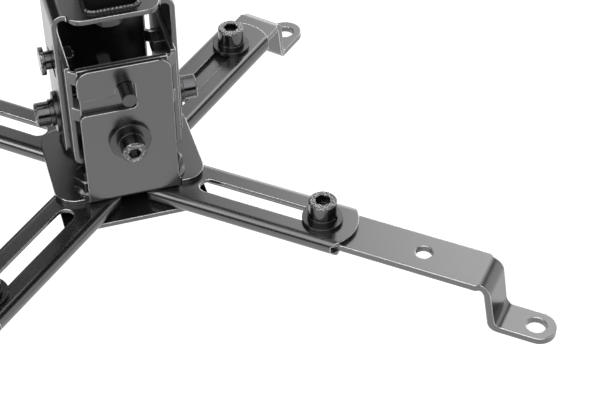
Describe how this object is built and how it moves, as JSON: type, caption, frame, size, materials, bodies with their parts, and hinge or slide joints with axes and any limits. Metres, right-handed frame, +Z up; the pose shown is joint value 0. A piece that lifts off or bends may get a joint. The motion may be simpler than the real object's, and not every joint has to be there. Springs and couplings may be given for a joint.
{
  "type": "projector ceiling mount",
  "caption": "Ceiling mount for a projector: a telescopic pole with a swivel and tilt head, and sliding arms with joggled feet that bolt to the projector.",
  "frame": {"origin": "centre of the ceiling plate's top face", "axes": "+Z up towards the ceiling, along the pole; +X right and -Y towards the side with the hook slots' front ear, as in the picture"},
  "size_m": [0.2544, 0.2304, 0.43],
  "materials": {
    "black_coat": "semi-gloss black powder coat",
    "pole_steel": "semi-gloss black powder coat",
    "bar_steel": "semi-gloss dark grey coat",
    "weld": "coated weld bead",
    "screw_steel": "black oxide",
    "washer_steel": "black zinc",
    "nut_steel": "black zinc"
  },
  "bodies": {
    "ceiling": {"ceiling_plate": "pole_steel", "ceiling_weld": "weld", "outer_tube": "pole_steel", "height_nuts": "nut_steel", "height_screws": "screw_steel"},
    "pole": {"inner_tube": "pole_steel", "tube_end_plate": "pole_steel", "foot_weld": "weld", "swivel_bolt": "screw_steel", "swivel_washer": "washer_steel", "swivel_lock_washer": "washer_steel", "swivel_nut": "nut_steel"},
    "yoke": {"tilt_yoke": "black_coat"},
    "lock": {"thumb_screw": "screw_steel"},
    "front_right_arm": {"front_right_arm": "black_coat"},
    "front_right_bar": {"front_right_bar": "bar_steel", "front_right_arm_screw": "screw_steel", "front_right_spring_washer": "washer_steel", "front_right_arm_washer": "washer_steel"},
    "rear_right_arm": {"rear_right_arm": "black_coat"},
    "rear_right_bar": {"rear_right_bar": "bar_steel", "rear_right_arm_screw": "screw_steel", "rear_right_spring_washer": "washer_steel", "rear_right_arm_washer": "washer_steel"},
    "front_left_arm": {"front_left_arm": "black_coat"},
    "front_left_bar": {"front_left_bar": "bar_steel", "front_left_arm_screw": "screw_steel", "front_left_spring_washer": "washer_steel", "front_left_arm_washer": "washer_steel"},
    "rear_left_arm": {"rear_left_arm": "black_coat"},
    "rear_left_bar": {"rear_left_bar": "bar_steel", "rear_left_arm_screw": "screw_steel", "rear_left_spring_washer": "washer_steel", "rear_left_arm_washer": "washer_steel"},
    "head": {"front_hook_pin": "screw_steel", "front_screw": "screw_steel", "front_spring_washer": "washer_steel", "front_washer": "washer_steel", "gimbal_box": "black_coat", "hanger_bracket": "black_coat", "left_screw": "screw_steel", "left_spring_washer": "washer_steel", "left_washer": "washer_steel", "lock_nuts": "nut_steel", "lower_clamp_plate": "black_coat", "pivot_bolts": "screw_steel", "pivot_nuts": "nut_steel", "rear_hook_pin": "screw_steel", "rear_screw": "screw_steel", "rear_spring_washer": "washer_steel", "rear_washer": "washer_steel", "right_screw": "screw_steel", "right_spring_washer": "washer_steel", "right_washer": "washer_steel", "weld_nuts": "nut_steel"}
  },
  "joints": [
    {"name": "height", "type": "slide", "parent": "ceiling", "child": "pole", "axis": [0, 0, -1], "range_m": [0, 0.2]},
    {"name": "swivel", "type": "hinge", "parent": "pole", "child": "yoke", "pos_m": [0, 0, -0.33205], "axis": [0, 0, 1], "continuous": true},
    {"name": "tilt", "type": "hinge", "parent": "yoke", "child": "head", "pos_m": [0, 0, -0.38015], "axis": [1, 0, 0], "range_deg": [-15, 15]},
    {"name": "lock_turn", "type": "hinge", "parent": "head", "child": "lock", "pos_m": [-0.024, 0, -0.35735], "axis": [1, 0, 0], "continuous": true},
    {"name": "front_right_swing", "type": "hinge", "parent": "head", "child": "front_right_arm", "pos_m": [0.014, -0.0136, -0.40705], "axis": [0, 0, 1], "range_deg": [-38, 38]},
    {"name": "front_right_slide", "type": "slide", "parent": "front_right_arm", "child": "front_right_bar", "axis": [0.7627, -0.6468, 0], "range_m": [-0.038, 0.001]},
    {"name": "rear_right_swing", "type": "hinge", "parent": "head", "child": "rear_right_arm", "pos_m": [0.014, 0.0136, -0.40705], "axis": [0, 0, 1], "range_deg": [-38, 38]},
    {"name": "rear_right_slide", "type": "slide", "parent": "rear_right_arm", "child": "rear_right_bar", "axis": [0.7266, 0.6871, 0], "range_m": [-0.008, 0.001]},
    {"name": "front_left_swing", "type": "hinge", "parent": "head", "child": "front_left_arm", "pos_m": [-0.014, -0.0136, -0.40705], "axis": [0, 0, 1], "range_deg": [-38, 38]},
    {"name": "front_left_slide", "type": "slide", "parent": "front_left_arm", "child": "front_left_bar", "axis": [-0.7266, -0.6871, 0], "range_m": [-0.038, 0.001]},
    {"name": "rear_left_swing", "type": "hinge", "parent": "head", "child": "rear_left_arm", "pos_m": [-0.014, 0.0136, -0.40705], "axis": [0, 0, 1], "range_deg": [-38, 38]},
    {"name": "rear_left_slide", "type": "slide", "parent": "rear_left_arm", "child": "rear_left_bar", "axis": [-0.7501, 0.6613, 0], "range_m": [-0.038, 0.001]}
  ]
}
